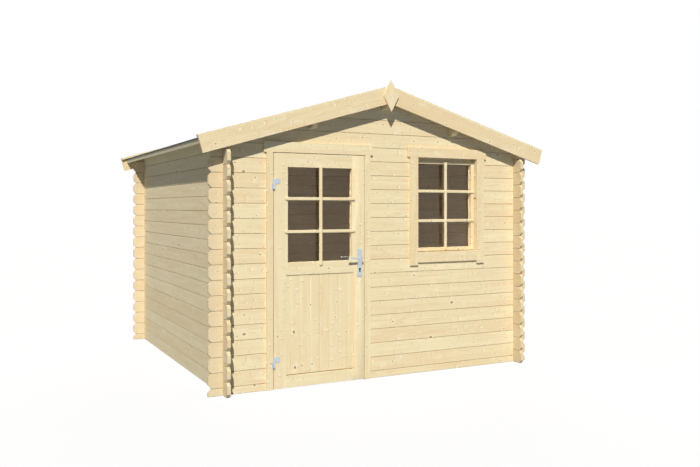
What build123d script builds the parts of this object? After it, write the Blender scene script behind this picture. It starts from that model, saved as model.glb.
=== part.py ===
"""Log-built garden shed: interlocking walls, purlin roof, part-glazed door and a six-pane window.

Millimetres. X runs along the front wall, Y from the front to the back, Z up from the ground.
The origin is at ground level in the middle of the plan. The door stands closed.
"""

import os
from math import cos, floor, radians, sin, tan

from build123d import *

# Log walls
wall_length = 2770  # outer face to outer face, both ways
log_height = 115
log_thickness = 28
log_projection = 110  # how far the log ends pass the crossing wall
side_courses = 17
log_groove = 3  # chamfer along the long edges, a V at each joint
end_chamfer_length = 26
end_chamfer_height = 28
notch_clearance = 0.3

# Roof
roof_slope = 16.26
roof_board_thickness = 18
felt_thickness = 3
felt_turn_down = 14  # how far the felt is folded over the boards' ends
eave_overhang = 170  # from the wall's outer face to the felt's edge, measured level
gable_overhang = 90  # from the wall's outer face to the back of the bargeboard
bargeboard_height = 120
bargeboard_thickness = 18
bargeboard_tail = 47  # how far the bargeboard passes the eave, along the slope
verge_lath_height = 20
verge_lath_width = 44
eave_batten_width = 45
eave_batten_height = 27
purlin_width = 45
purlin_height = 145
purlin_offset = 665  # from the ridge to the middle of a side purlin
finial_height = 258
finial_width = 140
finial_thickness = 18
finial_rise = 42  # the finial's tip above the verge laths

# Boards around the door and the window
casing_thickness = 18
head_board_height = 84
head_board_overhang = 22
head_board_bottom = 1832
frame_clearance = 0.5  # between a frame and the log ends around it

# Door
door_centre = -589
leaf_width = 790
leaf_bottom = 8
leaf_thickness = 40
door_gap = 5
door_casing_width = 53
door_post_thickness = 30
door_stop_width = 15
door_stop_depth = 20
frame_flange = 20  # the inner lip that covers the cut log ends
threshold_height = 25
stile_width = 116
top_rail_height = 107
mid_rail_bottom = 880
mid_rail_height = 98
bottom_rail_height = 92
glass_thickness = 4
pane_housing = 8  # how deep a pane sits in the grooves around it
housing_clearance = 0.3
door_glass_setback = 26
panel_thickness = 18
panel_lip = 14  # the rebate in the leaf's frame that the panel lies in
panel_setback = 8
panel_drip_gap = 6
panel_board_width = 84
panel_groove = 5

# Hinges and handle
hinge_heights = (213, 1587)
hinge_barrel_radius = 8
hinge_pin_radius = 4
hinge_running_clearance = 0.1
hinge_barrel_length = 82
hinge_cap_thickness = 2
hinge_strap_height = 40
hinge_strap_length = 54
hinge_plate_width = 16
hinge_plate_thickness = 3
hinge_joint_gap = 0.5
handle_plate_width = 42
handle_plate_height = 228
handle_plate_thickness = 6
handle_plate_corner = 4
handle_plate_drop = 40  # from the spindle down to the plate's middle
handle_backset = 45  # from the leaf's edge to the spindle
keyhole_drop = 92  # from the spindle down to the keyhole
keyhole_radius = 5
keyhole_length = 16
keyhole_depth = 2
spindle_height = 998
spindle_radius = 4
lever_length = 128
lever_reach = 52
lever_radius = 8
lever_gap = 0.5

# Window
window_centre = 632
window_width = 612
window_casing_width = 78
window_casing_bottom = 914
sill_board_bottom = 938
sill_board_top = 1026
window_frame_thickness = 25
window_frame_depth = 74
sash_thickness = 44
sash_stile_width = 30
sash_top_rail_height = 25
sash_bottom_rail_height = 34
sash_drip_gap = 6  # the rebate under the sash that keeps rain out
sash_drip_depth = 12
sash_head_gap = 24
sash_head_setback = 12
sash_glass_setback = 34

half_wall = wall_length / 2
wall_centre = half_wall - log_thickness / 2
side_wall_height = side_courses * log_height
log_length = wall_length + 2 * log_projection
slope = radians(roof_slope)
ridge_height = side_wall_height + half_wall * tan(slope)
roof_length = wall_length + 2 * gable_overhang
notch_depth = log_height / 4

left_wall = Plane(origin=(-wall_centre, 0, 0), x_dir=(0, 1, 0), z_dir=(1, 0, 0))
right_wall = Plane(origin=(wall_centre, 0, 0), x_dir=(0, 1, 0), z_dir=(1, 0, 0))
front_wall = Plane(origin=(0, -wall_centre, 0), x_dir=(1, 0, 0), z_dir=(0, -1, 0))
back_wall = Plane(origin=(0, wall_centre, 0), x_dir=(1, 0, 0), z_dir=(0, -1, 0))
front_face = -half_wall

leaf_top = head_board_bottom - door_gap
leaf_front = front_face - casing_thickness
leaf_back = leaf_front + leaf_thickness
door_clear_width = leaf_width + 2 * door_gap
door_frame_width = door_clear_width + 2 * door_post_thickness
door_frame_top = head_board_bottom + door_post_thickness
stop_front = leaf_back + door_gap
frame_back = stop_front + door_stop_depth
wall_inner_face = front_face + log_thickness
stop_clear_width = leaf_width - 2 * door_stop_width

window_bottom = sill_board_top - window_frame_thickness
window_frame_width = window_width + 2 * window_frame_thickness
window_frame_top = head_board_bottom + window_frame_thickness

os.makedirs("parts", exist_ok=True)


def save(piece, name):
    """Labels a finished piece and writes it under its name."""
    piece.part.label = name
    export_step(piece.part, f"parts/{name}.step")


def log_timber(wall, low, high):
    """A length of timber for one course, grooved along its four long edges."""
    section = Plane(origin=wall.origin, x_dir=-wall.z_dir, z_dir=wall.x_dir)
    with BuildPart() as timber:
        with BuildSketch(section):
            with Locations((0, (low + high) / 2)):
                Rectangle(log_thickness, high - low)
            chamfer(vertices(), log_groove)
        extrude(amount=log_length / 2, both=True)
    return timber.part


def cut_log(wall, low, high, start, end, openings=()):
    """One log from start to end along its wall, notched where it crosses the two other walls.

    An end that passes the crossing wall has its upper and lower corner chamfered, except where
    the log stands on the ground. Openings are (left, right, bottom, top) along the same wall.
    """
    full_height = high - low > log_height / 2 + log_groove
    notch_width = log_thickness + 2 * notch_clearance
    timber = log_timber(wall, low, high)
    with BuildPart() as log:
        add(timber)
        with BuildSketch(wall):
            with Locations(((start + end) / 2, (low + high) / 2)):
                Rectangle(end - start, high - low)
            for side in (-1, 1):
                with Locations((side * wall_centre, high)):
                    Rectangle(notch_width, 2 * notch_depth, mode=Mode.SUBTRACT)
                if full_height:
                    with Locations((side * wall_centre, low)):
                        Rectangle(notch_width, 2 * notch_depth, mode=Mode.SUBTRACT)
            for tip in (start, end):
                if abs(tip) > half_wall:
                    inward = tip + end_chamfer_length if tip < 0 else tip - end_chamfer_length
                    with BuildLine():
                        Polyline((tip, high), (inward, high), (tip, high - end_chamfer_height), close=True)
                    make_face(mode=Mode.SUBTRACT)
                    if full_height:
                        with BuildLine():
                            Polyline((tip, low), (inward, low), (tip, low + end_chamfer_height), close=True)
                        make_face(mode=Mode.SUBTRACT)
            for left, right, bottom, top in openings:
                with Locations(((left + right) / 2, (bottom + top) / 2)):
                    Rectangle(right - left, top - bottom, mode=Mode.SUBTRACT)
        extrude(amount=log_thickness, both=True, mode=Mode.INTERSECT)
    return log.part


def roof_space():
    """Everything below the underside of the roof boards."""
    reach = half_wall + eave_overhang
    with BuildPart() as space:
        with BuildSketch(Plane.XZ):
            with BuildLine():
                Polyline(
                    (-reach, 0),
                    (reach, 0),
                    (reach, ridge_height - reach * tan(slope)),
                    (0, ridge_height),
                    (-reach, ridge_height - reach * tan(slope)),
                    close=True,
                )
            make_face()
        extrude(amount=log_length / 2, both=True)
    return space.part


def side_course(wall, course):
    """A log of a side wall. The top one is shorter, because its ends carry the bargeboards."""
    length = roof_length if course == side_courses - 1 else log_length
    low = course * log_height
    return cut_log(wall, low, low + log_height, -length / 2, length / 2)


def gable_course_bottom(course):
    """Front and back courses are half a log out of step, with a half log at the ground."""
    return (course - 0.5) * log_height if course else 0


def gable_course(wall, course, start, end, openings=()):
    """A log of the front or back wall. From the eaves up it stops at the side walls."""
    low = gable_course_bottom(course)
    high = (course + 0.5) * log_height
    if course >= side_courses:
        start, end = -half_wall, half_wall
    return cut_log(wall, low, high, start, end, openings)


def purlin_space(middle, bottom, top, clearance=0):
    """The space that a purlin takes along the whole roof."""
    with BuildPart() as box:
        with BuildSketch(Plane.XZ):
            with Locations((middle, (bottom + top) / 2)):
                Rectangle(purlin_width + 2 * clearance, top - bottom + 2 * clearance)
        extrude(amount=roof_length / 2, both=True)
    return box.part


def purlin_bottom(middle):
    """A side purlin's underside, measured down from the roof at its higher edge."""
    higher_edge = max(abs(middle) - purlin_width / 2, 0)
    return ridge_height - higher_edge * tan(slope) - purlin_height


def wall_node(name, logs, cut_at_roof=False):
    """Writes one group of logs. Every second course of a wall goes in one group, so none touch."""
    with BuildPart() as group:
        add(logs)
        if cut_at_roof:
            add(under_roof, mode=Mode.INTERSECT)
            add(purlin_slots, mode=Mode.SUBTRACT)
    save(group, name)


under_roof = roof_space()
purlin_middles = (-purlin_offset, 0, purlin_offset)
purlin_slots = [
    purlin_space(middle, purlin_bottom(middle), ridge_height, notch_clearance) for middle in purlin_middles
]

roof_beside_ridge_purlin = ridge_height - purlin_width / 2 * tan(slope)
top_gable_course = floor(roof_beside_ridge_purlin / log_height + 0.5)
opening_top = door_frame_top + frame_clearance
lintel_course = floor(opening_top / log_height + 0.5)
half_door = door_frame_width / 2 + frame_clearance
half_window = window_frame_width / 2 + frame_clearance
door_opening = (door_centre - half_door, door_centre + half_door, -1, opening_top)
window_opening = (
    window_centre - half_window,
    window_centre + half_window,
    window_bottom - frame_clearance,
    window_frame_top + frame_clearance,
)
front_openings = (door_opening, window_opening)

# Side walls
for side_name, side_plane in (("left", left_wall), ("right", right_wall)):
    lower = [side_course(side_plane, course) for course in range(0, side_courses, 2)]
    upper = [side_course(side_plane, course) for course in range(1, side_courses, 2)]
    wall_node(f"{side_name}_wall_odd_logs", lower, cut_at_roof=True)
    wall_node(f"{side_name}_wall_even_logs", upper)

# Back wall and its gable
all_courses = range(top_gable_course + 1)
back_logs = [gable_course(back_wall, course, -log_length / 2, log_length / 2) for course in all_courses]
wall_node("back_wall_odd_logs", back_logs[0::2], cut_at_roof=True)
wall_node("back_wall_even_logs", back_logs[1::2], cut_at_roof=True)

# Front wall beside the door and around the window, and the logs over both
left_end = -log_length / 2
right_end = log_length / 2
left_logs = [gable_course(front_wall, course, left_end, door_opening[0]) for course in range(lintel_course)]
right_logs = [
    gable_course(front_wall, course, door_opening[1], right_end, (window_opening,))
    for course in range(lintel_course)
]
upper_logs = [
    gable_course(front_wall, course, left_end, right_end, front_openings)
    for course in range(lintel_course, top_gable_course + 1)
]
wall_node("front_wall_left_odd_logs", left_logs[0::2])
wall_node("front_wall_left_even_logs", left_logs[1::2])
wall_node("front_wall_right_odd_logs", right_logs[0::2])
wall_node("front_wall_right_even_logs", right_logs[1::2])
wall_node("front_gable_odd_logs", upper_logs[0::2], cut_at_roof=True)
wall_node("front_gable_even_logs", upper_logs[1::2], cut_at_roof=True)

# Roof
felt_top = roof_board_thickness + felt_thickness
eave_end = (half_wall + eave_overhang - felt_top * sin(slope)) / cos(slope)
bargeboard_end = eave_end + bargeboard_tail
bargeboard_low = felt_top - bargeboard_height
verge_lath_top = felt_top + verge_lath_height
bargeboard_back = roof_length / 2
bargeboard_front = bargeboard_back + bargeboard_thickness


def roof_point(side, along, above):
    """A point of the section, by its distance down the slope and its height above the boards' underside."""
    return (
        side * (along * cos(slope) + above * sin(slope)),
        ridge_height - along * sin(slope) + above * cos(slope),
    )


def slope_profile(side, low, high, end):
    """Corners of a layer that runs from the ridge, where it meets the other side, down the slope."""
    return (
        (0, ridge_height + low / cos(slope)),
        roof_point(side, end, low),
        roof_point(side, end, high),
        (0, ridge_height + high / cos(slope)),
    )


def roof_layer(corners, near, far):
    """A profile in the XZ plane, run from near to far along Y."""
    with BuildPart() as layer:
        with BuildSketch(Plane.XZ.offset(-near)):
            with BuildLine():
                Polyline(*corners, close=True)
            make_face()
        extrude(amount=near - far)
    return layer.part


def at_both_gables(corners, back, front):
    """The same profile at the front and the back of the roof."""
    return [roof_layer(corners, -front, -back), roof_layer(corners, back, front)]


for side_name, side in (("left", -1), ("right", 1)):
    boards = slope_profile(side, 0, roof_board_thickness, eave_end)
    felt = slope_profile(side, roof_board_thickness, felt_top, eave_end + felt_thickness)
    felt_edge = (
        roof_point(side, eave_end, felt_top - felt_turn_down),
        roof_point(side, eave_end + felt_thickness, felt_top - felt_turn_down),
        roof_point(side, eave_end + felt_thickness, felt_top),
        roof_point(side, eave_end, felt_top),
    )
    batten = (
        roof_point(side, eave_end - eave_batten_width, -eave_batten_height),
        roof_point(side, eave_end, -eave_batten_height),
        roof_point(side, eave_end, 0),
        roof_point(side, eave_end - eave_batten_width, 0),
    )
    bargeboard = slope_profile(side, bargeboard_low, felt_top, bargeboard_end)
    verge_lath = slope_profile(side, felt_top, verge_lath_top, bargeboard_end)

    with BuildPart() as roof_boards:
        add(roof_layer(boards, -roof_length / 2, roof_length / 2))
    save(roof_boards, f"{side_name}_roof_boards")

    with BuildPart() as roof_felt:
        add(roof_layer(felt, -roof_length / 2, roof_length / 2))
        add(roof_layer(felt_edge, -roof_length / 2, roof_length / 2))
    save(roof_felt, f"{side_name}_roof_felt")

    with BuildPart() as eave_batten:
        add(roof_layer(batten, -roof_length / 2, roof_length / 2))
    save(eave_batten, f"{side_name}_eave_batten")

    with BuildPart() as bargeboards:
        add(at_both_gables(bargeboard, bargeboard_back, bargeboard_front))
    save(bargeboards, f"{side_name}_bargeboards")

    with BuildPart() as verge_laths:
        add(at_both_gables(verge_lath, bargeboard_front - verge_lath_width, bargeboard_front))
    save(verge_laths, f"{side_name}_verge_laths")


def purlin(middle):
    """A purlin under the roof boards, with the lower corner of each end cut back."""
    low = purlin_bottom(middle)
    beam_end = roof_length / 2
    chamfer_start = beam_end - end_chamfer_length
    with BuildPart() as beam:
        add(purlin_space(middle, purlin_bottom(middle), ridge_height))
        add(under_roof, mode=Mode.INTERSECT)
        with BuildSketch(Plane.YZ.offset(middle)):
            for tip, inward in ((-beam_end, -chamfer_start), (beam_end, chamfer_start)):
                with BuildLine():
                    Polyline((tip, low), (inward, low), (tip, low + end_chamfer_height), close=True)
                make_face()
        extrude(amount=purlin_width, both=True, mode=Mode.SUBTRACT)
    return beam.part


with BuildPart() as ridge_purlin:
    add(purlin(0))
save(ridge_purlin, "ridge_purlin")

with BuildPart() as side_purlins:
    add([purlin(-purlin_offset), purlin(purlin_offset)])
save(side_purlins, "side_purlins")

finial_top = ridge_height + verge_lath_top / cos(slope) + finial_rise
finial_middle = finial_top - finial_height / 2
finial_outline = (
    (0, finial_top),
    (-finial_width / 2, finial_middle),
    (0, finial_middle - finial_height / 2),
    (finial_width / 2, finial_middle),
)
with BuildPart() as finials:
    add(at_both_gables(finial_outline, bargeboard_front, bargeboard_front + finial_thickness))
save(finials, "finials")


def board(left, right, bottom, top, front, depth):
    """An upright board facing the front, from its front face inwards."""
    with BuildPart() as piece:
        with BuildSketch(Plane.XZ.offset(-front)):
            with Locations(((left + right) / 2, (bottom + top) / 2)):
                Rectangle(right - left, top - bottom)
        extrude(amount=-depth)
    return piece.part


def pair_of_boards(centre, inner_width, width, bottom, top, front, depth):
    """Two like boards to the left and right of an opening."""
    inner = inner_width / 2
    return [
        board(centre - inner - width, centre - inner, bottom, top, front, depth),
        board(centre + inner, centre + inner + width, bottom, top, front, depth),
    ]


def plan_prism(corners, bottom, top):
    """An upright piece with the given plan."""
    with BuildPart() as piece:
        with BuildSketch(Plane.XY.offset(bottom)):
            with BuildLine():
                Polyline(*corners, close=True)
            make_face()
        extrude(amount=top - bottom)
    return piece.part


# Door frame
def door_post(side):
    """A post with a lip that covers the cut log ends inside and a stop behind the leaf."""
    clear = door_clear_width / 2
    outer = door_frame_width / 2
    plan = (
        (clear, front_face),
        (outer, front_face),
        (outer, wall_inner_face),
        (outer + frame_flange, wall_inner_face),
        (outer + frame_flange, frame_back),
        (stop_clear_width / 2, frame_back),
        (stop_clear_width / 2, stop_front),
        (clear, stop_front),
    )
    return plan_prism([(door_centre + side * x, y) for x, y in plan], 0, head_board_bottom)


with BuildPart() as door_frame_posts:
    add([door_post(-1), door_post(1)])
save(door_frame_posts, "door_frame_posts")

half_frame = door_frame_width / 2
half_stop = stop_clear_width / 2
lip_depth = frame_back - wall_inner_face
with BuildPart() as door_frame_head:
    add(
        board(
            door_centre - half_frame,
            door_centre + half_frame,
            head_board_bottom,
            door_frame_top,
            front_face,
            frame_back - front_face,
        )
    )
    add(
        board(
            door_centre - half_frame - frame_flange,
            door_centre + half_frame + frame_flange,
            head_board_bottom,
            door_frame_top + frame_flange,
            wall_inner_face,
            lip_depth,
        )
    )
    add(
        board(
            door_centre - half_stop,
            door_centre + half_stop,
            leaf_top - door_stop_width,
            head_board_bottom,
            stop_front,
            door_stop_depth,
        )
    )
save(door_frame_head, "door_frame_head")

with BuildPart() as door_threshold:
    add(
        board(
            door_centre - half_stop, door_centre + half_stop, 0, threshold_height, stop_front, door_stop_depth
        )
    )
save(door_threshold, "door_threshold")

with BuildPart() as door_casings:
    add(
        pair_of_boards(
            door_centre,
            door_clear_width,
            door_casing_width,
            0,
            head_board_bottom,
            leaf_front,
            casing_thickness,
        )
    )
save(door_casings, "door_casings")


def head_board(centre, casing_span):
    """The board over an opening, a little longer than the casings below it."""
    reach = casing_span / 2 + head_board_overhang
    top = head_board_bottom + head_board_height
    return board(centre - reach, centre + reach, head_board_bottom, top, leaf_front, casing_thickness)


with BuildPart() as door_head_board:
    add(head_board(door_centre, door_clear_width + 2 * door_casing_width))
save(door_head_board, "door_head_board")

# Door leaf
pane_width = leaf_width - 2 * stile_width
pane_bottom = mid_rail_bottom + mid_rail_height
pane_top = leaf_top - top_rail_height
panel_bottom = leaf_bottom + bottom_rail_height
panel_width = pane_width + 2 * panel_lip
glass_front = leaf_front + door_glass_setback
panel_front = leaf_front + panel_setback
panel_pocket = panel_setback + panel_thickness + housing_clearance
spindle_x = door_centre + leaf_width / 2 - handle_backset
handle_plate_middle = spindle_height - handle_plate_drop


def pane(centre, width, bottom, top, front, thickness, margin):
    """A sheet that fills an opening and reaches past it by margin on every side."""
    half = width / 2 + margin
    return board(centre - half, centre + half, bottom - margin, top + margin, front, thickness)


glass_housing = pane(
    door_centre,
    pane_width,
    pane_bottom,
    pane_top,
    glass_front - housing_clearance,
    glass_thickness + 2 * housing_clearance,
    pane_housing + housing_clearance,
)
panel_housing = pane(door_centre, panel_width, panel_bottom, mid_rail_bottom, leaf_front, panel_pocket, 0)


def across(radius, y_start, y_end):
    """A round bar along Y on the spindle's line."""
    with BuildPart() as bar:
        with BuildSketch(Plane.XZ.offset(-y_start)):
            with Locations((spindle_x, spindle_height)):
                Circle(radius)
        extrude(amount=y_start - y_end)
    return bar.part


spindle_hole = across(
    spindle_radius + hinge_running_clearance,
    leaf_front - handle_plate_thickness,
    leaf_back + handle_plate_thickness,
)

with BuildPart() as door_stiles:
    add(
        pair_of_boards(
            door_centre, pane_width, stile_width, leaf_bottom, leaf_top, leaf_front, leaf_thickness
        )
    )
    add([glass_housing, panel_housing, spindle_hole], mode=Mode.SUBTRACT)
save(door_stiles, "door_stiles")

pane_left = door_centre - pane_width / 2
pane_right = door_centre + pane_width / 2
with BuildPart() as door_rails:
    for rail_bottom, rail_top in (
        (leaf_bottom, panel_bottom + panel_lip),
        (mid_rail_bottom - panel_lip, pane_bottom),
        (pane_top, leaf_top),
    ):
        add(board(pane_left, pane_right, rail_bottom, rail_top, leaf_front, leaf_thickness))
    add([glass_housing, panel_housing], mode=Mode.SUBTRACT)
save(door_rails, "door_rails")

panel_half = panel_width / 2 - housing_clearance
groove_count = floor(panel_half / panel_board_width)
with BuildPart() as door_panel:
    add(
        board(
            door_centre - panel_half,
            door_centre + panel_half,
            panel_bottom + panel_drip_gap,
            mid_rail_bottom - housing_clearance,
            panel_front,
            panel_thickness,
        )
    )
    with BuildSketch(Plane.XY.offset(panel_bottom)):
        for joint in range(-groove_count, groove_count + 1):
            with Locations((door_centre + joint * panel_board_width, panel_front)):
                Rectangle(panel_groove, panel_groove, rotation=45)
    extrude(amount=mid_rail_bottom - panel_bottom, mode=Mode.SUBTRACT)
save(door_panel, "door_panel")

with BuildPart() as door_glass:
    add(pane(door_centre, pane_width, pane_bottom, pane_top, glass_front, glass_thickness, pane_housing))
save(door_glass, "door_glass")


# Handle
def handle_plate(face, outward):
    """A long plate on one face of the leaf, with a shallow keyhole. Outward is -1 at the front."""
    middle = (spindle_x, face, handle_plate_middle)
    surface = Plane(origin=middle, x_dir=(-outward, 0, 0), z_dir=(0, outward, 0))
    with BuildPart() as plate:
        with BuildSketch(surface):
            RectangleRounded(handle_plate_width, handle_plate_height, handle_plate_corner)
        extrude(amount=handle_plate_thickness)
        with BuildSketch(surface.offset(handle_plate_thickness - keyhole_depth)):
            with Locations((0, handle_plate_drop - keyhole_drop)):
                Circle(keyhole_radius)
                with Locations((0, -keyhole_length / 2)):
                    Rectangle(keyhole_radius, keyhole_length)
        extrude(amount=keyhole_depth, mode=Mode.SUBTRACT)
        add(spindle_hole, mode=Mode.SUBTRACT)
    return plate.part


with BuildPart() as door_handle_plates:
    add([handle_plate(leaf_front, -1), handle_plate(leaf_back, 1)])
save(door_handle_plates, "door_handle_plates")


def lever(face, outward):
    """A lever that leaves the plate on a short neck and points towards the hinges."""
    plate_face = face + outward * (handle_plate_thickness + lever_gap)
    grip_line = face + outward * lever_reach
    grip_start = (spindle_x, grip_line, spindle_height)
    with BuildPart() as grip:
        with BuildSketch(Plane(origin=grip_start, x_dir=(0, 1, 0), z_dir=(-1, 0, 0))):
            Circle(lever_radius)
        extrude(amount=lever_length - lever_radius)
        with Locations(grip_start, (spindle_x - lever_length + lever_radius, grip_line, spindle_height)):
            Sphere(lever_radius)
        add(across(lever_radius, plate_face, grip_line))
    return grip.part


with BuildPart() as door_levers:
    add([lever(leaf_front, -1), lever(leaf_back, 1)])
    add(across(spindle_radius, leaf_front - lever_reach, leaf_back + lever_reach))
save(door_levers, "door_levers")

# Hinges
hinge_x = door_centre - leaf_width / 2 - door_gap / 2
hinge_y = leaf_front - hinge_barrel_radius - hinge_joint_gap


def barrel(radius, bottom, top):
    """A round bar on the hinge line."""
    with BuildPart() as bar:
        with BuildSketch(Plane.XY.offset(bottom)):
            with Locations((hinge_x, hinge_y)):
                Circle(radius)
        extrude(amount=top - bottom)
    return bar.part


def hinge_pin(middle):
    """The part on the casing: the lower half of the barrel, its plate and the pin."""
    bottom = middle - hinge_barrel_length / 2
    top = middle - hinge_joint_gap / 2
    with BuildPart() as frame_part:
        add(barrel(hinge_barrel_radius, bottom, top))
        add(barrel(hinge_pin_radius, top, middle + hinge_barrel_length / 2 - 2 * hinge_cap_thickness))
        add(
            board(
                hinge_x - hinge_plate_width,
                hinge_x - door_gap / 2,
                bottom,
                top,
                leaf_front - hinge_plate_thickness,
                hinge_plate_thickness,
            )
        )
    return frame_part.part


def hinge_strap(middle):
    """The part on the leaf: the upper half of the barrel, closed at its top, and the strap."""
    low = middle + hinge_joint_gap / 2
    top = middle + hinge_barrel_length / 2
    bore_radius = hinge_pin_radius + hinge_running_clearance
    with BuildPart() as leaf_part:
        add(barrel(hinge_barrel_radius, low, top))
        add(
            board(
                hinge_x,
                hinge_x + hinge_strap_length,
                low,
                low + hinge_strap_height,
                leaf_front - hinge_plate_thickness,
                hinge_plate_thickness,
            )
        )
        add(barrel(bore_radius, low, top - hinge_cap_thickness), mode=Mode.SUBTRACT)
    return leaf_part.part


with BuildPart() as hinge_pins:
    add([hinge_pin(middle) for middle in hinge_heights])
save(hinge_pins, "hinge_pins")

with BuildPart() as hinge_straps:
    add([hinge_strap(middle) for middle in hinge_heights])
save(hinge_straps, "hinge_straps")

# Window
window_left = window_centre - window_width / 2
window_right = window_centre + window_width / 2
sash_front = front_face + window_frame_depth - sash_thickness
sash_top = head_board_bottom - sash_head_gap

with BuildPart() as window_frame:
    add(
        board(
            window_left - window_frame_thickness,
            window_right + window_frame_thickness,
            window_bottom,
            window_frame_top,
            front_face,
            window_frame_depth,
        )
    )
    add(
        board(window_left, window_right, sill_board_top, head_board_bottom, front_face, window_frame_depth),
        mode=Mode.SUBTRACT,
    )
    add(
        board(
            window_left,
            window_right,
            sash_top,
            head_board_bottom,
            sash_front + sash_head_setback,
            sash_thickness - sash_head_setback,
        )
    )
save(window_frame, "window_frame")

sash_pane = (
    window_left + sash_stile_width,
    window_right - sash_stile_width,
    sill_board_top + sash_bottom_rail_height,
    sash_top - sash_top_rail_height,
)
sash_pane_width = sash_pane[1] - sash_pane[0]
sash_glass_front = sash_front + sash_glass_setback
sash_housing = pane(
    window_centre,
    sash_pane_width,
    sash_pane[2],
    sash_pane[3],
    sash_glass_front - housing_clearance,
    glass_thickness + 2 * housing_clearance,
    pane_housing + housing_clearance,
)
with BuildPart() as window_sash:
    add(
        board(
            window_left + housing_clearance,
            window_right - housing_clearance,
            sill_board_top,
            sash_top - housing_clearance,
            sash_front,
            sash_thickness,
        )
    )
    add(board(*sash_pane, sash_front, sash_thickness), mode=Mode.SUBTRACT)
    add(sash_housing, mode=Mode.SUBTRACT)
    add(
        board(
            window_left,
            window_right,
            sill_board_top,
            sill_board_top + sash_drip_gap,
            sash_front,
            sash_drip_depth,
        ),
        mode=Mode.SUBTRACT,
    )
save(window_sash, "window_sash")

with BuildPart() as window_glass:
    add(
        pane(
            window_centre,
            sash_pane_width,
            sash_pane[2],
            sash_pane[3],
            sash_glass_front,
            glass_thickness,
            pane_housing,
        )
    )
save(window_glass, "window_glass")

with BuildPart() as window_casings:
    add(
        pair_of_boards(
            window_centre,
            window_width,
            window_casing_width,
            window_casing_bottom,
            head_board_bottom,
            leaf_front,
            casing_thickness,
        )
    )
save(window_casings, "window_casings")

with BuildPart() as window_head_board:
    add(head_board(window_centre, window_width + 2 * window_casing_width))
save(window_head_board, "window_head_board")

with BuildPart() as window_sill_board:
    add(board(window_left, window_right, sill_board_bottom, sill_board_top, leaf_front, casing_thickness))
save(window_sill_board, "window_sill_board")
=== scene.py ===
"""The looks of the log-built garden shed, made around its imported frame.

Metres. X runs along the front wall, Y from the front to the back, Z up from the ground.
The walls, roof timbers and boards are rounded copies of the frame's own pieces, with the run of
their grain stored on every point. Bars, roof boards, felt laps, nails and screws are made here.
"""

from math import cos, floor, pi, radians, sin, tan
from random import Random

import bpy
from mathutils import Matrix, Vector


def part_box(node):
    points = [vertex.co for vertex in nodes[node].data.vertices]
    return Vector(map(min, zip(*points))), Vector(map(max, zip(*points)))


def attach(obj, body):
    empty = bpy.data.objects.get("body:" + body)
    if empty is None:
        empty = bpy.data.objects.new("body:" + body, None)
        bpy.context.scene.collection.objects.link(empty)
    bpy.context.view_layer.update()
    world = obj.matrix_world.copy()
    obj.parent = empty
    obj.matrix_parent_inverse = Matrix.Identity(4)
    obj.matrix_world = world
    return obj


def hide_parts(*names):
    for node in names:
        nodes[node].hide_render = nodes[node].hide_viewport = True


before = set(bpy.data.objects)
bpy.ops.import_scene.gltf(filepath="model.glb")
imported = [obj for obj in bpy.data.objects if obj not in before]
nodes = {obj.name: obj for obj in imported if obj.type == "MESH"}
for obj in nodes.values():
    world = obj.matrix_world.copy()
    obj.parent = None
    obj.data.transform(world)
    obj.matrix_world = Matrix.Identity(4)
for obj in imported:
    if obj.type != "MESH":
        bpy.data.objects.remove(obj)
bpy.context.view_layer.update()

ALONG_X = Vector((1, 0, 0))
ALONG_Y = Vector((0, 1, 0))
UP = Vector((0, 0, 1))

# Camera, solved from the photograph's perspective. The lens and the sensor are in millimetres
CAMERA_PLACE = (-3.102, -6.804, 1.403)
CAMERA_YAW = -27.2
CAMERA_LENS = 38.62
CAMERA_SENSOR = 36
CAMERA_SHIFT_Y = -0.0367

# Light. The angles are in degrees
SUN_TRAVEL = Vector((0.37, 0.68, -0.63))
SUN_STRENGTH = 3.75
SUN_ANGLE = 1.2
FILL_TRAVEL = Vector((-0.38, -0.72, -0.5))
FILL_STRENGTH = 1.0
FILL_ANGLE = 30
LAMP_DISTANCE = 6
SKY_HEX = "BECBE0"
SKY_STRENGTH = 0.18
FLOOR_SIZE = 60

# Shapes in general
ROOF_SLOPE = radians(16.26)
TIMBER_ROUNDING = 0.0012
METAL_ROUNDING = 0.0006
METAL_SMOOTH_ANGLE = radians(20)
MERGE_DISTANCE = 0.00002
FLAT_ANGLE = 0.01
SHARP_ANGLE = radians(30)
END_GRAIN_COSINE = 0.6
BARGEBOARD_DARKER = 0.8

# From the middle of the shed to the outer face of a wall, and to the middle of its thickness
HALF_WALL = 1.385
WALL_CENTRE = 1.371


def deselect_all():
    """Leaves edit mode and selects nothing."""
    if bpy.context.object and bpy.context.object.mode != "OBJECT":
        bpy.ops.object.mode_set(mode="OBJECT")
    bpy.ops.object.select_all(action="DESELECT")


def activate(piece):
    """Makes one object the only selected and active one."""
    deselect_all()
    piece.select_set(True)
    bpy.context.view_layer.objects.active = piece


def settle(piece):
    """Puts a piece's place into its mesh, so that its object sits at the origin."""
    activate(piece)
    bpy.ops.object.transform_apply(location=True, rotation=True, scale=True)


def apply_modifier(piece, kind, **settings):
    """Adds a modifier with its settings and applies it."""
    activate(piece)
    modifier = piece.modifiers.new(kind.title(), kind)
    for name, value in settings.items():
        setattr(modifier, name, value)
    bpy.ops.object.modifier_apply(modifier=modifier.name)


def round_edges(piece, width):
    """Rounds every sharp edge of a piece a little."""
    apply_modifier(
        piece, "BEVEL", width=width, segments=2, limit_method="ANGLE", angle_limit=SHARP_ANGLE
    )


def block(name, low, high):
    """A box between two corners, named and with its place in its mesh."""
    deselect_all()
    middle = [(a + b) / 2 for a, b in zip(low, high)]
    bpy.ops.mesh.primitive_cube_add(size=1, location=middle)
    piece = bpy.context.object
    piece.name = name
    piece.scale = [b - a for a, b in zip(low, high)]
    settle(piece)
    return piece


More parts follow.
